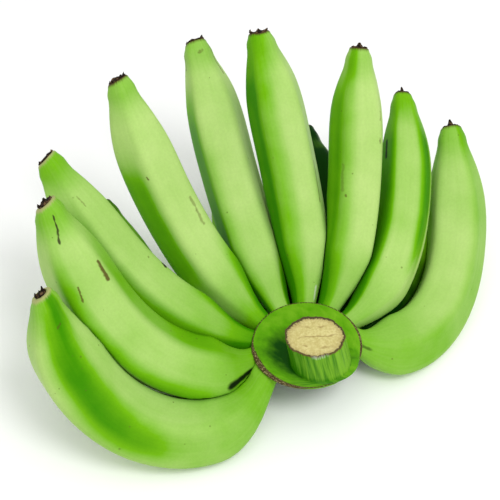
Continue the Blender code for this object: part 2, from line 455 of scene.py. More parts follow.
def sum_up(operation, first, second=0.0, third=0.0, clamp=False):
    """A Math node with its sockets fed."""
    node = add_node("Math", operation=operation, use_clamp=clamp)
    for socket, source in zip(node.inputs, (first, second, third)):
        feed(socket, source)
    return node.outputs[0]


def times(first, second, clamp=False):
    return sum_up("MULTIPLY", first, second, clamp=clamp)


def minus(first, second):
    return sum_up("SUBTRACT", first, second)


def scaled(value, factor, start):
    """A value times a factor, added to a start."""
    return sum_up("MULTIPLY_ADD", value, factor, start)


def apart(first, second):
    """How far apart two values are."""
    return sum_up("ABSOLUTE", minus(first, second))


def between(value, low, high):
    """0 below low, 1 above high and a soft step in between."""
    node = add_node("MapRange", interpolation_type="SMOOTHSTEP")
    feed_all(node, Value=value, From_Min=low, From_Max=high)
    return node.outputs["Result"]


def fading(value, low, high):
    """1 below low, 0 above high and a soft step in between."""
    return minus(1.0, between(value, low, high))


def blend(share, first, second):
    """A colour mix: the first where share is 0, the second where it is 1."""
    node = add_node("Mix", data_type="RGBA")
    for socket, source in ((node.inputs[0], share), (node.inputs[6], first), (node.inputs[7], second)):
        feed(socket, source)
    return node.outputs[2]


def noise(place, scale, detail=2.0):
    node = add_node("TexNoise")
    feed_all(node, Vector=place, Scale=scale, Detail=detail)
    return node.outputs["Fac"]


def object_place():
    return add_node("TexCoord").outputs["Object"]


def map_place():
    return add_node("UVMap", uv_map="peel").outputs[0]


def stored(name):
    """A share that is kept on the points of the mesh."""
    return add_node("Attribute", attribute_name=name).outputs["Fac"]


def start_group(name, inputs, outputs):
    """A new node group with named sockets; each input is a name, a kind and a first value."""
    group = Recipe.tree = bpy.data.node_groups.new(name, "ShaderNodeTree")
    for label, kind, value in inputs:
        socket = group.interface.new_socket(name=label, in_out="INPUT", socket_type="NodeSocket" + kind)
        socket.default_value = value
    for label, kind in outputs:
        group.interface.new_socket(name=label, in_out="OUTPUT", socket_type="NodeSocket" + kind)
    given, made = (group.nodes.new(kind) for kind in ("NodeGroupInput", "NodeGroupOutput"))
    return group, given.outputs, made.inputs


def use_group(group, **sources):
    """Place a group in the recipe with its inputs fed."""
    node = add_node("Group", node_tree=group)
    feed_all(node, **sources)
    return node.outputs


print("node helpers ready")

# %% [markdown]
# Peel tone, with painted light and shade
#
# How lit each place of a banana looks is painted into its colour. Where the painted light share is
# high the peel is a pale, waxy yellow green that stands in for lit sides and soft highlights, where
# it is low a deep, clear green that stands in for shade, with a fresh green between them. They run
# into each other in soft blotches. The share of painted light is kept on the mesh, so that it turns
# with the hand.

# %% Build the peel tone group
FRESH_AT = 0.4
GRAIN_SCALE, GRAIN_DEPTH, GRAIN_LOW = 700.0, 0.05, 0.97

peel_tone, given, made = start_group(
    "peel tone",
    [("Deep", "Color", (0.03, 0.2, 0.001, 1)), ("Fresh", "Color", (0.12, 0.4, 0.01, 1)),
     ("Pale", "Color", (0.4, 0.6, 0.15, 1)), ("Sun", "Float", 0.5), ("Blotch Scale", "Float", 40.0),
     ("Blotch Strength", "Float", 0.3)],
    [("Colour", "Color")])
place = object_place()
blotch = minus(noise(place, given["Blotch Scale"], 3.0), 0.5)
# The painted light share, roughened by blotches, picks deep green for painted shade and pale green for
# painted light.
share = scaled(blotch, given["Blotch Strength"], given["Sun"])
fresh_share = times(share, 1 / FRESH_AT, clamp=True)
fresh = blend(fresh_share, given["Deep"], given["Fresh"])
pale_share = sum_up("DIVIDE", minus(share, FRESH_AT), 1 - FRESH_AT, clamp=True)
tone = blend(pale_share, fresh, given["Pale"])
grain = between(noise(place, GRAIN_SCALE, 2.0), 0.3, 0.7)
darker = add_node("HueSaturation")
feed_all(darker, Color=tone, Value=scaled(grain, GRAIN_DEPTH, GRAIN_LOW))
feed(made["Colour"], darker.outputs["Color"])
print("peel tone nodes:", len(peel_tone.nodes))

# %% [markdown]
# Pores and freckles
#
# A banana's peel carries sparse dark freckles, less than a millimetre wide. A Voronoi pattern gives
# one point to a cell; only some of the cells keep theirs.

# %% Build the freckles group
freckles, given, made = start_group(
    "freckles",
    [("Scale", "Float", 90.0), ("Size", "Float", 0.08), ("Share", "Float", 0.15)],
    [("Mask", "Float")])
cells = add_node("TexVoronoi")
feed_all(cells, Vector=object_place(), Scale=given["Scale"])
draw = add_node("SeparateColor")
feed(draw.inputs[0], cells.outputs["Color"])
kept = sum_up("LESS_THAN", draw.outputs[0], given["Share"])
size = times(given["Size"], scaled(draw.outputs[1], 0.8, 0.4))
near = fading(cells.outputs["Distance"], times(size, 0.5), size)
feed(made["Mask"], times(near, kept))
print("freckles nodes:", len(freckles.nodes))

# %% [markdown]
# Fibres
#
# Peel and stalk are both built of fibres that run lengthwise. The pattern is read from the piece's
# own map: fine round the piece and stretched along it. The turn is wrapped on a circle, so there is
# no seam.

# %% Build the fibres group
fibres, given, made = start_group(
    "fibres",
    [("Fineness", "Float", 12.0), ("Stretch", "Float", 2.0), ("Roughness", "Float", 3.0)],
    [("Value", "Float"), ("Turn", "Float"), ("Height", "Float")])
split = add_node("SeparateXYZ")
feed(split.inputs[0], map_place())
angle = times(split.outputs["X"], 2 * np.pi)
joined = add_node("CombineXYZ")
feed_all(joined,
         X=times(sum_up("COSINE", angle), given["Fineness"]),
         Y=times(sum_up("SINE", angle), given["Fineness"]),
         Z=times(split.outputs["Y"], given["Stretch"]))
feed(made["Value"], noise(joined.outputs[0], 1.0, given["Roughness"]))
feed(made["Turn"], split.outputs["X"])
feed(made["Height"], split.outputs["Y"])
print("fibres nodes:", len(fibres.nodes))

# %% [markdown]
# Scrapes
#
# Where bananas rub on each other the peel bruises in thin brown lines along the ridges. One scrape
# runs from one place of the peel's map to another, in millimetres, and its edge is broken up: it
# sways aside in slow waves and is torn in small ones.

# %% Build the scrape group
SWAY_SCALE, SWAY_REACH = 0.11, 2.6
TEAR_SCALE, TEAR_REACH = 0.40, 2.2
SCRAPE_CORE = 0.3

scrape, given, made = start_group(
    "scrape",
    [("From", "Vector", (0, 0, 0)), ("To", "Vector", (0, 10, 0)), ("Peel Size", "Vector", (100, 190, 0)),
     ("Width", "Float", 1.0), ("Breaks", "Float", 1.0)],
    [("Mask", "Float")])


def vector_sum(operation, first, second, output="Vector"):
    node = add_node("VectorMath", operation=operation)
    feed(node.inputs[0], first)
    feed(node.inputs["Scale" if operation == "SCALE" else 1], second)
    return node.outputs[output]


flat = vector_sum("MULTIPLY", map_place(), given["Peel Size"])
sway = add_node("TexNoise")
feed_all(sway, Vector=flat, Scale=SWAY_SCALE)
sideways = vector_sum("SUBTRACT", sway.outputs["Color"], (0.5, 0.5, 0.5))
sideways = vector_sum("SCALE", sideways, times(given["Breaks"], SWAY_REACH))
here = vector_sum("ADD", flat, sideways)
run = vector_sum("SUBTRACT", given["To"], given["From"])
gone = vector_sum("SUBTRACT", here, given["From"])
along_run = sum_up("DIVIDE", vector_sum("DOT_PRODUCT", gone, run, "Value"),
                   vector_sum("DOT_PRODUCT", run, run, "Value"), clamp=True)
away = vector_sum("DISTANCE", gone, vector_sum("SCALE", run, along_run), "Value")
torn = minus(noise(flat, TEAR_SCALE, 3.0), 0.5)
ragged = scaled(torn, times(given["Breaks"], TEAR_REACH), away)
core = times(given["Width"], SCRAPE_CORE)
feed(made["Mask"], fading(ragged, core, given["Width"]))
print("scrape nodes:", len(scrape.nodes))

# %% [markdown]
# The peel
#
# One recipe makes the peel of every banana; each gets its own size of map, its own deep green and
# its own scrapes. The skin of the scar at the tip dries to brown or to straw.

# %% Mix the peel
# Deep green is the painted shade of the upper bananas, pale green their painted light and soft
# highlights; shade green is the painted shade of the lower row.
DEEP_GREEN = (0.044, 0.245, 0.0003, 1)
SHADE_GREEN = (0.002, 0.035, 0.0005, 1)
FRESH_GREEN = (0.153, 0.425, 0.005, 1)
PALE_GREEN = (0.49, 0.67, 0.22, 1)
FRECKLE_BROWN = (0.10, 0.13, 0.015, 1)
SCRAPE_BROWN = (0.09, 0.055, 0.012, 1)
DRY_BROWN = (0.07, 0.04, 0.015, 1)
DRY_STRAW = (0.38, 0.40, 0.15, 1)
PEEL_ROUGHNESS, PEEL_GLOSS = 0.44, 0.06
WAX_TINT = (0.7, 1.0, 0.45, 1)
VEIN_DEPTH, FRECKLE_DEPTH = 0.11, 0.58
DRY_START, DRY_END = 1.000, 1.014


def new_material(name, roughness, gloss=0.5):
    """A material and its shader; what is even all over stays on the shader's own sockets."""
    finish = bpy.data.materials.new(name)
    finish.use_nodes = True
    Recipe.tree = finish.node_tree
    shader = finish.node_tree.nodes["Principled BSDF"]
    shader.inputs["Roughness"].default_value = roughness
    shader.inputs["Specular IOR Level"].default_value = gloss
    return finish, shader


def dress(shader, colour, relief, strength, depth):
    """Give a shader its colour, and a relief as a bump."""
    feed(shader.inputs["Base Color"], colour)
    node = add_node("Bump")
    feed_all(node, Strength=strength, Distance=depth, Height=relief)
    feed(shader.inputs["Normal"], node.outputs["Normal"])


def mix_peel(name, banana, deep, marks, dried_skin):
    finish, shader = new_material(name, PEEL_ROUGHNESS, PEEL_GLOSS)
    shader.inputs["Specular Tint"].default_value = WAX_TINT
    veins = use_group(fibres, Fineness=7.0, Stretch=3.0, Roughness=2.0)["Value"]
    # The painted light share, streaked by the veins, sets the peel's tone.
    painted_light = scaled(minus(veins, 0.5), VEIN_DEPTH, stored("painted_light"))
    colour = use_group(peel_tone, Deep=deep, Fresh=FRESH_GREEN, Pale=PALE_GREEN, Sun=painted_light,
                       Blotch_Scale=38.0, Blotch_Strength=0.35)["Colour"]
    grown = use_group(fibres, Fineness=9.0, Stretch=5.0, Roughness=3.0)
    dots = use_group(freckles, Scale=125.0, Size=0.10, Share=0.55)["Mask"]
    colour = blend(times(dots, FRECKLE_DEPTH), colour, FRECKLE_BROWN)
    peel_size = (np.pi * banana.girth, banana.length, 0)
    for mark in marks:
        start, end = ((turn * peel_size[0], along * peel_size[1], 0)
                      for turn, along in (mark.start, mark.end))
        mask = use_group(scrape, From=start, To=end, Peel_Size=peel_size, Width=mark.width,
                         Breaks=mark.breaks)["Mask"]
        colour = blend(times(mask, mark.strength), colour, mark.colour)
    uneven = scaled(grown["Value"], 0.016, grown["Height"])
    colour = blend(between(uneven, DRY_START, DRY_END), colour, dried_skin)
    dress(shader, colour, scaled(dots, -0.4, grown["Value"]), 0.12, 0.0006)
    return finish


print("peel recipe ready")

# %% [markdown]
# Crown, stump and cut face
#
# The crown is the same green as the peel, with painted light and shade, and a torn brown line round
# its rim. The stump's side is streaked dark and light with its fibres, and the streaks run lighter
# where painted light falls on it. The cut face is pale cream flesh, with a dried brown edge and a few
# wavy lines where the fibres parted under the knife. Heights on the map run to 1 on the crown, from 1
# to 2 up the stump and on from 2 over the cut face; turns run once round.

# %% Mix the crown's finishes
STREAK_DARK, STREAK_LIGHT = (0.025, 0.16, 0.0005, 1), (0.18, 0.42, 0.018, 1)
CROWN_DEEP = (0.006, 0.075, 0.0008, 1)
CROWN_FRESH = (0.10, 0.33, 0.002, 1)
CROWN_PALE = (0.30, 0.58, 0.03, 1)
LIP_BROWN, LIP_STRAW = (0.065, 0.045, 0.015, 1), (0.36, 0.30, 0.13, 1)
SIDE_BROWN = (0.12, 0.085, 0.03, 1)
SAP_GREY = (0.55, 0.58, 0.48, 1)
FLESH_DULL, FLESH_CREAM = (0.51, 0.43, 0.155, 1), (0.65, 0.58, 0.25, 1)
PARTED_BROWN = (0.24, 0.13, 0.03, 1)
STAIN_BROWN = (0.27, 0.19, 0.06, 1)
EDGE_BROWN = (0.06, 0.045, 0.015, 1)
FRONT_TURN, SAP_TURN, BACK_TURN = 0.77, 0.775, 0.32
RIM_ON_MAP = 0.515


def fibre_streaks():
    """The dark and light streaks of the stump's side, which run on over the crown's front."""
    broad = use_group(fibres, Fineness=6.5, Stretch=0.5, Roughness=4.0)
    fine = use_group(fibres, Fineness=24.0, Stretch=1.2, Roughness=3.0)["Value"]
    streak = scaled(fine, 0.35, times(broad["Value"], 0.9))
    # The streaks run lighter where the painted light share is high.
    lit = sum_up("ADD", streak, scaled(stored("painted_light"), 0.6, -0.3))
    colour = blend(between(lit, 0.45, 0.85), STREAK_DARK, STREAK_LIGHT)
    return {"colour": colour, "streak": streak, "fine": fine, "turn": broad["Turn"],
            "height": broad["Height"]}


def mix_crown():
    finish, shader = new_material("crown_skin", 0.42, 0.08)
    streaks = fibre_streaks()
    grown = use_group(fibres, Fineness=5.0, Stretch=9.0, Roughness=4.0)
    # The crown's green follows its painted light share, with the fibres.
    painted_light = scaled(grown["Value"], 0.5, minus(stored("painted_light"), 0.25))
    colour = use_group(peel_tone, Deep=CROWN_DEEP, Fresh=CROWN_FRESH, Pale=CROWN_PALE, Sun=painted_light,
                       Blotch_Scale=60.0, Blotch_Strength=0.5)["Colour"]
    in_front = times(fading(apart(grown["Turn"], FRONT_TURN), 0.08, 0.13),
                     between(grown["Height"], 0.54, 0.66))
    colour = blend(times(in_front, 0.85), colour, streaks["colour"])
    fine = use_group(fibres, Fineness=40.0, Stretch=60.0, Roughness=4.0)["Value"]
    ragged = scaled(fine, 0.05, apart(grown["Height"], RIM_ON_MAP))
    reach = scaled(stored("lip"), 0.055, 0.043)
    torn = fading(ragged, minus(reach, 0.012), reach)
    patchy = blend(between(fine, 0.50, 0.68), LIP_BROWN, LIP_STRAW)
    dress(shader, blend(torn, colour, patchy), scaled(torn, fine, grown["Value"]),
          0.4, 0.0008)
    return finish


def mix_stump():
    finish, shader = new_material("stump_side", 0.45, 0.05)
    streaks = fibre_streaks()
    uneven = scaled(streaks["fine"], 0.10, streaks["height"])
    colour = blend(between(uneven, 1.93, 1.985), streaks["colour"], SIDE_BROWN)
    sap = fading(apart(streaks["turn"], SAP_TURN), 0.03, 0.055)
    sap = times(sap, between(uneven, 1.86, 1.93))
    sap = times(sap, between(streaks["fine"], 0.35, 0.6))
    colour = blend(times(sap, 0.45), colour, SAP_GREY)
    dress(shader, colour, streaks["streak"], 0.5, 0.0012)
    return finish


def mix_cut():
    finish, shader = new_material("cut_face", 0.62, 0.2)
    place = object_place()
    mottle = times(noise(place, 110.0, 3.0), 0.4)
    mottle = scaled(noise(place, 800.0, 3.0), 0.6, mottle)
    flesh = blend(between(mottle, 0.36, 0.64), FLESH_DULL, FLESH_CREAM)
    wavy = add_node("TexWave", wave_type="BANDS", bands_direction="Y")
    feed_all(wavy, Vector=place, Scale=44.0, Distortion=5.0, Detail=3.0, Detail_Scale=1.5)
    rim = use_group(fibres, Fineness=24.0, Stretch=9.0, Roughness=4.0)
    at_back = fading(apart(rim["Turn"], BACK_TURN), 0.05, 0.22)
    uneven = scaled(rim["Value"], 0.30, scaled(at_back, -0.05, rim["Height"]))
    broken = times(between(noise(place, 110.0, 2.0), 0.44, 0.54),
                   between(uneven, 2.40, 2.60))
    line = times(between(wavy.outputs["Fac"], 0.88, 1.0), broken)
    colour = blend(times(line, 0.55), flesh, PARTED_BROWN)
    colour = blend(times(fading(uneven, 2.26, 2.52), 0.5), colour, STAIN_BROWN)
    colour = blend(fading(uneven, 2.25, 2.36), colour, EDGE_BROWN)
    dress(shader, colour, scaled(line, -0.6, noise(place, 500.0, 3.0)), 0.5, 0.0006)
    return finish


print("crown finishes ready")

# %% [markdown]
# The dried flower
#
# What is left of the flower is dry and almost black, with paler brown where it has torn.

# %% Mix the dried flower
FLOWER_BLACK, FLOWER_BROWN = (0.016, 0.010, 0.007, 1), (0.16, 0.095, 0.045, 1)


def mix_dried():
    finish, shader = new_material("dried_flower", 0.85, 0.1)
    place = object_place()
    torn = between(noise(place, 420.0, 3.0), 0.50, 0.68)
    colour = blend(torn, FLOWER_BLACK, FLOWER_BROWN)
    dress(shader, colour, noise(place, 900.0, 3.0), 0.6, 0.0005)
    return finish


dried = mix_dried()
print("dried flower ready")

# %% [markdown]
# The painted light and shade
#
# Each banana has a base share of painted light and a few long bands of painted shade, mostly a
# whole flat side between two ridges that turns away from the lamps or lies in a gap between
# bananas. A band is given by the turn of its middle and its width, how much darker it is, and
# where along the banana it starts and ends. A band with a depth below zero is paler, as painted light.

# %% List the tones
Band = namedtuple("Band", "turn width depth start end edge", defaults=(0.07,))
TONES = {
    "upper_banana_1": (
        0.78, Band(0.325, 0.14, 0.42, 0.24, 1.02, 0.12), Band(0.35, 0.15, 0.34, 0.42, 1.02, 0.09),
        Band(0.25, 0.12, 0.20, 0.30, 0.72, 0.10), Band(0.42, 0.14, 0.42, 0.76, 1.2),
        Band(0.12, 0.22, -0.05, 0.5, 1.1)),
    "upper_banana_2": (
        0.77, Band(0.20, 0.08, 0.42, 0.10, 0.95), Band(0.53, 0.18, 0.32, 0.05, 0.92)),
    "upper_banana_3": (
        0.77, Band(0.25, 0.24, 0.36, -0.3, 0.88), Band(0.61, 0.09, 0.45, -0.3, 0.38),
        Band(0.42, 0.5, 0.35, -0.3, 0.16)),
    "upper_banana_4": (
        0.88, Band(0.21, 0.29, 0.66, 0.16, 0.82), Band(0.61, 0.10, 0.55, -0.3, 0.42),
        Band(0.42, 0.5, 0.35, -0.3, 0.16)),
    "upper_banana_5": (
        0.88, Band(0.19, 0.37, 0.76, -0.3, 0.90), Band(0.41, 0.07, 0.25, -0.3, 0.75),
        Band(0.50, 0.30, -0.08, -0.3, 0.40), Band(0.72, 0.14, 0.65, -0.3, 0.30)),
    "upper_banana_6": (
        0.86, Band(0.18, 0.34, 0.80, -0.3, 0.98), Band(0.40, 0.14, 0.40, -0.3, 0.95, 0.10),
        Band(0.28, 0.48, 0.30, 0.72, 1.2, 0.22), Band(0.52, 0.30, -0.12, -0.3, 0.40)),
    "upper_banana_7": (
        0.91, Band(0.16, 0.36, 0.58, -0.3, 1.0), Band(0.38, 0.12, 0.36, -0.3, 1.2, 0.09)),
    "upper_banana_8": (
        0.70, Band(0.23, 0.36, 0.58, -0.3, 1.0, 0.04), Band(0.65, 0.14, 0.74, 0.24, 0.98, 0.06),
        Band(0.52, 0.26, -0.22, -0.3, 0.50), Band(0.76, 0.26, -0.30, -0.3, 0.60)),
    "upper_banana_9": (
        0.84, Band(0.24, 0.20, 0.34, 0.22, 1.05), Band(0.20, 0.30, -0.25, -0.3, 0.45),
        Band(0.69, 0.20, 0.24, 0.1, 1.2)),
    "lower_banana_2": (0.45,),
    "lower_banana_5": (0.30, Band(0.40, 0.46, 0.35, -0.3, 1.0), Band(0.50, 0.90, 0.30, -0.3, 0.88)),
}
# The lower bananas lie in the shade of the upper row: a low base share of painted light is their painted
# shade.
LOWER_TONE = (0.40, Band(0.50, 0.40, 0.35, -0.3, 0.80))
BAND_END = 0.20
NECK_SHADE, NECK_SHADE_END = 0.34, 0.45
TIP_SHADE, TIP_SHADE_START, TIP_SHADE_END = 0.28, 0.86, 0.98


def soft_step(value, low, high):
    share = np.clip((value - low) / (high - low), 0, 1)
    return share * share * (3 - 2 * share)


def peel_places(piece):
    """Turn and place along, at each point of a piece, read from its map."""
    loops = len(piece.data.loops)
    uv, owner = np.empty(loops * 2, dtype=np.float32), np.empty(loops, dtype=np.int32)
    piece.data.uv_layers["peel"].data.foreach_get("uv", uv)
    piece.data.loops.foreach_get("vertex_index", owner)
    turn, along = np.zeros(len(piece.data.vertices)), np.zeros(len(piece.data.vertices))
    turn[owner], along[owner] = uv[0::2] % 1, uv[1::2]
    return turn, along


def store_share(piece, name, shares):
    layer = piece.data.attributes.new(name=name, type="FLOAT", domain="POINT")
    layer.data.foreach_set("value", np.asarray(shares, dtype=np.float32))


def tone_banana(piece, tone):
    """Store the share of painted light on a banana: its base tone less its bands of painted shade."""
    base, *bands = tone
    turn, along = peel_places(piece)
    painted_light = np.full(len(turn), base)
    for band in bands:
        away = np.abs(np.angle(np.exp(2j * np.pi * (turn - band.turn)))) / (2 * np.pi)
        across = 1 - soft_step(away, band.width / 2 - band.edge / 2, band.width / 2 + band.edge / 2)
        begun = soft_step(along, band.start, band.start + BAND_END)
        ended = soft_step(along, band.end - BAND_END, band.end)
        painted_light -= band.depth * across * begun * (1 - ended)
    # Painted shade at the neck, where the necks crowd into the crown; and darker towards the tip.
    painted_light -= NECK_SHADE * (1 - soft_step(along, 0.0, NECK_SHADE_END))
    painted_light -= TIP_SHADE * soft_step(along, TIP_SHADE_START, TIP_SHADE_END)
    store_share(piece, "painted_light", painted_light)


print("tones listed:", len(TONES))

# %% [markdown]
# The bananas
#
# The rings near the crown are tucked under its rim, and the lowest skin is pressed flat where a
# banana rests. A few broad waves keep the skin from looking turned on a lathe. Near the tip the skin
# swells to a blunt shoulder and is cut off at a slant by the flat scar that the flower sat on; a few
# tips bend a little aside.

# %% Shape the skins
WAVE_HEIGHT = 0.008
SKIN_EASE = 0.990
SLANT = 0.40
SLANT_START = 12 * MM
SHOULDER_SWELL, SHOULDER_PLACE, SHOULDER_WIDTH = 0.17, 5 * MM, 4.5 * MM
SCAR_RINGS = ((0.94, 0.6, 1.004), (0.84, 1.0, 1.010), (0.6, 1.0, 1.020))
BOX_EASE = 0.2 * MM
RIM_TUCK = 1.2 * MM
TIP_NUDGES = {0: (3.0, 2.5, 2.0), 2: (1.2, -0.6, 0.0), 4: (-2.0, -1.0, -1.0), 5: (-1.4, 0.0, 0.0),
              6: (1.2, 0.0, 0.0), 7: (0.0, -0.6, -0.6), 13: (-3.0, -3.2, -2.6)}
NUDGE_START = 36 * MM


def ripples(skin, seed):
    """A share by which the skin swells and sinks in broad waves."""
    lots = np.random.default_rng(seed).uniform(0, 2 * np.pi, 4)
    along = skin.along[:, None] * skin.banana.length / 190
    once = np.sin(TURNS[None, :] + lots[0] + 6 * along)
    twice = np.sin(2 * TURNS[None, :] - 11 * along + lots[1])
    thrice = np.sin(3 * TURNS[None, :] + 17 * along + lots[2]) * np.sin(9 * along + lots[3])
    return SKIN_EASE + WAVE_HEIGHT * (0.4 * once + 0.4 * twice + 0.4 * thrice - 0.4)


def kept_in_box(points):
    """Points, measured from the crown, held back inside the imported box."""
    low, high = (np.array(corner) - np.array(crown) for corner in packed_box)
    return np.clip(points, low + BOX_EASE * np.array([1, 1, 0]), high - BOX_EASE)


def slanted(skin, spokes, share=1.0):
    """Spokes at the tip, drawn out along the banana so that the end slants."""
    return spokes + skin.ahead * (SLANT * share * (spokes @ skin.up))[..., None]


def banana_rings(skin, seed):
    spokes = skin.spokes * ripples(skin, seed)[:, :, None]
    to_tip = (1 - skin.along) * skin.banana.length * MM
    swell = 1 + SHOULDER_SWELL * np.exp(-((to_tip - SHOULDER_PLACE) / SHOULDER_WIDTH) ** 2)
    spokes = spokes * swell[:, None, None]
    near_tip = np.clip(1 - to_tip / SLANT_START, 0, 1)
    bent = soft_step(1 - to_tip / NUDGE_START, 0, 1)[:, None] * skin.nudge
    rings = [skin.middles[number] + bent[number] + slanted(skin, spokes[number], near_tip[number])
             for number in range(len(spokes))]
    middle = skin.middles[-1] + skin.nudge
    for share, rise, _ in SCAR_RINGS:
        rings.append(middle + slanted(skin, spokes[-1] * share) + skin.ahead * rise * MM)
    for ring in rings:
        ring[:] = kept_in_box(ring)
        ring[:, 2] = np.maximum(ring[:, 2], TABLE_LEVEL)
        under_rim = np.hypot(ring[:, 0], ring[:, 1]) < RIM_RADIUS
        ring[under_rim, 2] = np.minimum(ring[under_rim, 2], RIM_HEIGHT - RIM_TUCK)
    return rings


for number, skin in enumerate(upper + lower):
    skin.nudge = np.array(TIP_NUDGES.get(number, (0, 0, 0))) * MM
print("skins have rings:", len(banana_rings(upper[0], 1)))

# %% [markdown]
# The marks on the peel
#
# Each mark is a scrape, a scab, a pale streak or a dark line of painted shade in a gap between two
# bananas, that shows on one banana, given by where it starts and ends as turn and place along, its
# width in millimetres and how broken its edge is.

# %% Make the bananas
Mark = namedtuple("Mark", "start end width breaks strength colour", defaults=(SCRAPE_BROWN,))
# Near-black painted shade, laid where a banana lies in the gap against its neighbour.
GAP_SHADE_BLACK = (0.004, 0.012, 0.002, 1)
# A pale whitish streak on a neck.
PALE_STREAK_WHITE = (0.60, 0.66, 0.50, 1)
SCAB_BLACK = (0.03, 0.022, 0.012, 1)
STRAW_TIPS = ("upper_banana_1", "upper_banana_2", "upper_banana_3")

MARKS = {
    "upper_banana_1": (
        Mark((0.36, 0.92), (0.40, 0.93), 0.9, 1.0, 0.5),
    ),
    "upper_banana_2": (
        Mark((0.310, 0.97), (0.265, 0.895), 1.7, 1.5, 0.9, SCAB_BLACK),
        Mark((0.252, 0.745), (0.238, 0.695), 0.9, 0.7, 0.8),
        Mark((0.402, 0.785), (0.395, 0.715), 1.9, 0.7, 0.9),
        Mark((0.240, 0.115), (0.278, 0.045), 4.6, 0.6, 1.0, GAP_SHADE_BLACK),
    ),
    "upper_banana_3": (
        Mark((0.600, 0.455), (0.590, 0.440), 1.8, 0.6, 1.0, SCAB_BLACK),
        Mark((0.42, 0.86), (0.43, 0.82), 0.8, 1.0, 0.4),
    ),
    "upper_banana_4": (
        Mark((0.561, 0.545), (0.556, 0.435), 1.3, 1.0, 0.45),
        Mark((0.378, 0.688), (0.380, 0.680), 0.9, 0.4, 0.8),
    ),
    "upper_banana_5": (
        Mark((0.700, 0.985), (0.712, 0.885), 1.2, 0.9, 0.9),
        Mark((0.275, 0.985), (0.280, 0.92), 1.2, 0.9, 0.8),
        Mark((0.50, 0.966), (0.57, 0.968), 1.0, 1.4, 0.5),
    ),
    "upper_banana_6": (
        Mark((0.650, 0.53), (0.622, 0.385), 0.95, 0.4, 0.9),
        Mark((0.600, 0.085), (0.610, 0.050), 2.2, 0.8, 0.75, PALE_STREAK_WHITE),
    ),
    "upper_banana_7": (
        Mark((0.370, 0.59), (0.379, 0.49), 1.5, 1.5, 0.3),
        Mark((0.402, 0.475), (0.404, 0.468), 0.9, 0.4, 0.7),
        Mark((0.62, 0.785), (0.61, 0.755), 0.8, 0.8, 0.6),
        Mark((0.60, 0.690), (0.60, 0.670), 0.8, 0.8, 0.6),
    ),
    "upper_banana_8": (
        Mark((0.294, 0.82), (0.302, 0.76), 2.6, 0.8, 0.95, GAP_SHADE_BLACK),
    ),
    "upper_banana_9": (
        Mark((0.685, 0.005), (0.680, 0.035), 3.2, 0.8, 0.6, GAP_SHADE_BLACK),
    ),
}


def make_banana(node, skin, seed):
    heights = list(skin.along) + [height for _, _, height in SCAR_RINGS]
    # The lower bananas, lying in the shade of the upper row, get a near-black green as painted shade.
    deep = DEEP_GREEN if node.startswith("upper") else SHADE_GREEN
    dried_skin = DRY_STRAW if node in STRAW_TIPS else DRY_BROWN
    finish = mix_peel("peel_of_" + node, skin.banana, deep, MARKS.get(node, ()), dried_skin)
    piece = add_piece("skin_of_" + node, loft(banana_rings(skin, seed), heights), [finish], node)
    tone_banana(piece, TONES.get(node, LOWER_TONE))


for number, skin in enumerate(upper, start=1):
    make_banana(f"upper_banana_{number}", skin, number)
for number, skin in enumerate(lower, start=1):
    make_banana(f"lower_banana_{number}", skin, 20 + number)
print("bananas made:", len(upper) + len(lower))

# %% [markdown]
# What is left of the flowers
#
# The flower dries up on the tip. Its petals leave a ragged dark edge round the scar, and its style a
# small bent nub. On the three bananas at the right the nub is long and pointed, on the two at the
# left the petals hang on as torn scraps. It is lofted like the banana, with edges torn by random
# lots that are drawn from a fixed seed.

# %% Make the dried flowers
FLOWER_SIDES = 32
Flower = namedtuple("Flower", "reach scraps nub nub_width")
UPPER_FLOWERS = (
    Flower(0.60, 1.7, 0.5, 0.28), Flower(0.70, 1.6, 0.5, 0.30), Flower(0.88, 0.7, 0.3, 0.25),
    Flower(0.88, 1.1, 1.2, 0.30), Flower(0.90, 1.3, 0.6, 0.30), Flower(0.88, 1.3, 0.4, 0.30),
    Flower(0.86, 0.3, 2.9, 0.27), Flower(0.80, 0.3, 4.3, 0.20), Flower(0.78, 0.3, 4.8, 0.22),
)
LOWER_FLOWER = Flower(0.70, 0.5, 1.6, 0.25)
HIDDEN_FLOWER = Flower(0.50, 0.1, 0.2, 0.2)
HIDDEN_TIP = 5


def flower_levels(flower):
    """Reach, rise in millimetres, tear and share of the scraps, from under the disc to the nub."""
    edge, nub = flower.reach, flower.nub_width
    return (
        (edge * 0.6, 0.7, 0.0, 0.0), (edge * 0.96, 0.9, 0.03, 0.0), (edge, 1.3, 0.07, 0.5),
        (edge * 0.93, 1.7, 0.10, 1.0), (edge * 0.80, 1.5, 0.10, 0.6), (edge * 0.62, 1.4, 0.08, 0.1),
        (nub * 1.5, 1.5, 0.05, 0.0), (nub, 1.6 + flower.nub * 0.35, 0.05, 0.0),
        (nub * 0.62, 1.6 + flower.nub * 0.72, 0.04, 0.0), (nub * 0.25, 1.6 + flower.nub, 0.02, 0.0),
    )


def make_flower(name, skin, flower, seed):
    lots = np.random.default_rng(seed)
    turns = np.arange(FLOWER_SIDES) * 2 * np.pi / FLOWER_SIDES
    lean = lots.uniform(-0.25, 0.25, 2)
    petals = np.clip(np.sin(4 * turns + lots.uniform(0, 6)) + lots.normal(0, 0.7, FLOWER_SIDES), 0, 1.5)
    width = np.linalg.norm(skin.spokes[-1], axis=1).mean()
    round_way = np.sin(turns)[:, None] * skin.side + np.cos(turns)[:, None] * skin.up
    rings = []
    for reach, rise, tear, scraps in flower_levels(flower):
        spokes = round_way * (width * (reach + tear * lots.normal(0, 0.6, FLOWER_SIDES)))[:, None]
        lift = (rise + petals * flower.scraps * scraps)[:, None] * MM * skin.ahead
        bend = (lean[0] * skin.side + lean[1] * skin.up) * max(0, rise - 1.6) * MM
        rings.append(kept_in_box(skin.middles[-1] + skin.nudge + slanted(skin, spokes) + lift + bend))
    add_piece(name, loft(rings, list(np.linspace(0, 1, len(rings)))), [dried])


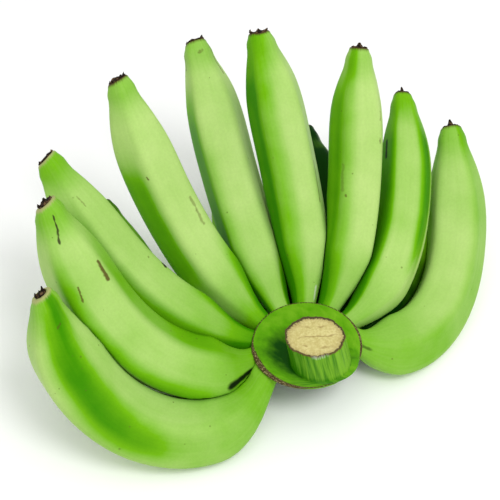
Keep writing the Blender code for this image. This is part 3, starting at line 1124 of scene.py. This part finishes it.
for number, (skin, flower) in enumerate(zip(upper, UPPER_FLOWERS), start=1):
    make_flower(f"dried_flower_upper_{number}", skin, flower, 40 + number)
for number, skin in enumerate(lower, start=1):
    flower = HIDDEN_FLOWER if number == HIDDEN_TIP else LOWER_FLOWER
    make_flower(f"dried_flower_lower_{number}", skin, flower, 60 + number)
print("dried flowers made:", len(upper) + len(lower))

# %% [markdown]
# The crown and the cut stalk
#
# The crown is the woody cushion that every neck grows out of, and the stalk is the stump of the
# stem that carried the bunch. Both are one grown piece. It could be turned as a lathe shape, but the
# stump stands off to one side and leans, so level oval rings are stacked instead, each with its own
# width, depth and place.

# %% Stack the crown's rings
CROWN_SIDES = 144
CROWN_TURNS = np.arange(CROWN_SIDES) * 2 * np.pi / CROWN_SIDES
Level = namedtuple("Level", "width depth right front height zone")

CROWN_WALL = (
    Level(44, 34, 0, -11, 8, 0.00),
    Level(53.5, 44, 0, -8.5, 16.5, 0.12),
    Level(62, 53, 0, -6.5, 26, 0.25),
    Level(65.6, 60, 0, -4.5, 34, 0.35),
    Level(67.4, 65.0, 0, -2.9, 40, 0.42),
    Level(68.8, 66.6, 0, -1.5, 42.8, 0.46),
    Level(69.2, 67.0, 0, -1.2, 43.8, 0.49),
    Level(68.4, 66.2, 0, -1.2, 44.5, 0.51),
    Level(66.6, 64.4, 0, -1.1, 44.5, 0.54),
)
COLLAR = (
    Level(62.4, 60.0, 1.8, 0.8, 44.9, 0.62),
    Level(56.6, 52.2, 4.4, 4.4, 45.2, 0.72),
    Level(50.2, 43.4, 7.2, 8.6, 45.6, 0.82),
    Level(45.0, 36.6, 9.2, 11.8, 46.2, 0.90),
    Level(42.2, 33.4, 9.8, 13.6, 47.2, 0.97),
)


def oval_ring(level, swelling=0.0):
    """A level oval ring of points, pushed out by the given swelling."""
    x = level.right * MM + (level.width / 2 * MM + swelling) * np.cos(CROWN_TURNS)
    y = -level.front * MM + (level.depth / 2 * MM + swelling) * np.sin(CROWN_TURNS)
    return np.stack([x, y, np.full_like(x, level.height * MM)], axis=-1)


print("levels of the crown:", len(CROWN_WALL) + len(COLLAR))

# %% [markdown]
# The stump's furrows and the cut
#
# The stalk is a bundle of fibres, so its side has shallow upright furrows. A knife took it off
# almost level: the cut face is a little rough, and its edge stands a hair higher where the tough
# skin dragged behind the blade.

# %% Stack the stump's rings
STUMP_LEVELS = 9
STUMP_WIDTH, STUMP_DEPTH = 36.2, 30.0
STUMP_RIGHT, STUMP_FRONT = 3.4, 15.2
STUMP_FOOT, STUMP_TOP = 48.2, 75.0
STUMP_LEAN, STUMP_STEP = 4.6, -1.0
STUMP_FLARE = 0.05
CUT_SHARES = (0.985, 0.955, 0.90, 0.75, 0.58, 0.40, 0.22, 0.08)
CUT_DROPS = (0.0, 0.45, 0.6, 0.5, 0.75, 0.5, 0.6, 0.5)


def furrows():
    """How far the fibres push the stump's side in and out, round the stump."""
    broad = 0.28 * np.sin(7 * CROWN_TURNS + 0.6) + 0.20 * np.sin(13 * CROWN_TURNS + 2.1)
    fine = 0.14 * np.sin(29 * CROWN_TURNS + 1.3) + 0.10 * np.sin(47 * CROWN_TURNS)
    return (broad + fine) * MM


def stump_rings():
    rings, zones = [], []
    for share in np.linspace(0, 1, STUMP_LEVELS):
        flare = 1 + STUMP_FLARE * (1 - share) ** 2
        level = Level(STUMP_WIDTH * flare, STUMP_DEPTH * flare, STUMP_RIGHT + STUMP_LEAN * (1 - share),
                      STUMP_FRONT + STUMP_STEP * (1 - share),
                      STUMP_FOOT + (STUMP_TOP - STUMP_FOOT) * share, 1 + 0.95 * share)
        rings.append(oval_ring(level, furrows() * min(1, 3 * share + 0.2)))
        zones.append(level.zone)
    for number, (share, drop) in enumerate(zip(CUT_SHARES, CUT_DROPS)):
        level = Level(STUMP_WIDTH * share, STUMP_DEPTH * share, STUMP_RIGHT, STUMP_FRONT,
                      STUMP_TOP, 2.02 + 0.1 * number)
        ring = oval_ring(level, furrows() * share)
        ring[:, 2] -= (drop + 0.12 * np.sin(5 * CROWN_TURNS + 3 * number)) * MM * min(1, number)
        rings.append(ring)
        zones.append(level.zone)
    return rings, zones


print("furrows run, mm:", np.round([furrows().min() / MM, furrows().max() / MM], 2))

# %% [markdown]
# The scar round the rim
#
# The sheath that once wrapped the hand tore off the rim. It left a thin brown line all round, and
# a thick ragged lip at the front left, which stands a little proud.

# %% Make the crown piece
LIP_AT, LIP_SPREAD = np.radians((222, 38))
SCAR_AT, SCAR_SPREAD = np.radians((7.2, 26))
# A painted shadow that the stump casts over the collar at its left, and painted light on the stump's
# right side.
STUMP_SHADOW_AT, STUMP_SHADOW_SPREAD = np.radians((172.8, 52))
LIT_SIDE_AT, LIT_SIDE_SPREAD = np.radians((324, 38))
LIP_HEIGHT = 0.9 * MM
# How much painted light the crown has, and how deep its painted shadow and shades are.
CROWN_PAINTED_LIGHT, STUMP_SHADOW_DEPTH, FOOT_SHADE, LIT_SIDE_GAIN, WALL_SHADE = 0.48, 0.44, 0.18, 0.22, 0.35


def hump(angles, middle, spread, power):
    """1 at the middle angle, falling off on both sides of it."""
    return np.exp(-(np.angle(np.exp(1j * (angles - middle))) / spread) ** power)


def ragged_lip():
    """How proud the torn lip stands round the rim, in metres."""
    tear = 0.75 + 0.25 * np.sin(31 * CROWN_TURNS) * np.sin(17 * CROWN_TURNS + 1)
    return hump(CROWN_TURNS, LIP_AT, LIP_SPREAD, 4) * tear * LIP_HEIGHT


def make_crown(materials):
    lip = ragged_lip()
    rings, zones = [], []
    for level in CROWN_WALL + COLLAR:
        on_rim = 0.45 < level.zone < 0.53
        ring = oval_ring(level, lip if on_rim else 0.0)
        ring[:, 2] += lip * 0.6 if on_rim else 0
        rings.append(ring)
        zones.append(level.zone)
    more_rings, more_zones = stump_rings()
    mesh = loft(rings + more_rings, zones + more_zones)
    peel_map = mesh.loops.layers.uv["peel"]
    for face in mesh.faces:
        face.material_index = min(2, int(min(corner[peel_map].uv.y for corner in face.loops)))
    piece = add_piece("crown_and_stump", mesh, materials, "stalk")
    place = np.array([vertex.co - crown for vertex in piece.data.vertices])
    turn, height = peel_places(piece)
    angle = 2 * np.pi * turn
    lip = hump(np.arctan2(place[:, 1], place[:, 0]), LIP_AT, LIP_SPREAD, 4)
    store_share(piece, "lip", lip + 0.5 * hump(angle, SCAR_AT, SCAR_SPREAD, 4))
    # Painted light and shade on the crown: the stump's painted shadow on the collar at its left, darker
    # round the stump's foot (painted shade where it meets the collar, and a dark ring in the skin),
    # painted shade down the wall under the rim, and painted light on the stump's right side.
    painted_stump_shadow = hump(angle, STUMP_SHADOW_AT, STUMP_SHADOW_SPREAD, 2)
    painted_stump_shadow *= soft_step(height, 0.60, 0.80) * (1 - 0.8 * soft_step(height, 1.0, 1.5))
    painted_lit_side = hump(angle, LIT_SIDE_AT, LIT_SIDE_SPREAD, 2) * soft_step(height, 0.7, 1.2)
    foot = soft_step(height, 0.78, 0.96) * (1 - soft_step(height, 0.99, 1.1))
    wall = 1 - soft_step(height, 0.1, 0.45)
    store_share(piece, "painted_light", CROWN_PAINTED_LIGHT - STUMP_SHADOW_DEPTH * painted_stump_shadow - FOOT_SHADE * foot
                + LIT_SIDE_GAIN * painted_lit_side - WALL_SHADE * wall)
    return piece


crown_piece = make_crown([mix_crown(), mix_stump(), mix_cut()])
print("faces on the crown:", len(crown_piece.data.polygons))

# %% [markdown]
# The table and the light
#
# The hand lies on a white table. A large soft lamp hangs high over the camera's right shoulder, and
# a wide one right overhead; the room round them is dim. The sides of the bananas take most of their
# light from the table; their deep green is painted shade in the peel's colour.

# %% Lay the table and hang the lights
TABLE_REACH = 3.0
TABLE_WHITE = (0.98, 0.98, 0.98, 1)
ROOM_LIGHT = 0.76

floor_mesh = bmesh.new()
bmesh.ops.create_grid(floor_mesh, x_segments=1, y_segments=1, size=TABLE_REACH)
floor_data = bpy.data.meshes.new("table")
floor_mesh.to_mesh(floor_data)
floor_mesh.free()
white, white_shader = new_material("table_white", 0.9)
white_shader.inputs["Base Color"].default_value = TABLE_WHITE
floor_data.materials.append(white)
floor = put_in_scene("table", floor_data)


def softbox(name, place, size, power):
    """A round soft lamp that hangs at a place, measured from the crown, and looks at the crown."""
    lamp = bpy.data.lights.new(name, "AREA")
    lamp.shape = "DISK"
    lamp.size = size
    lamp.energy = power
    light = put_in_scene(name, lamp)
    light.location = crown + Vector(place)
    light.rotation_euler = Vector(place).to_track_quat("Z", "Y").to_euler()


softbox("key", (0.40, -0.58, 1.45), 0.5, 8.6)
softbox("overhead", (0.1, -0.45, 1.6), 1.6, 5)

world = bpy.data.worlds.new("studio")
world.use_nodes = True
background = world.node_tree.nodes["Background"]
background.inputs["Color"].default_value = (1, 1, 1, 1)
background.inputs["Strength"].default_value = ROOM_LIGHT
bpy.context.scene.world = world
bpy.context.scene.view_settings.view_transform = "Standard"
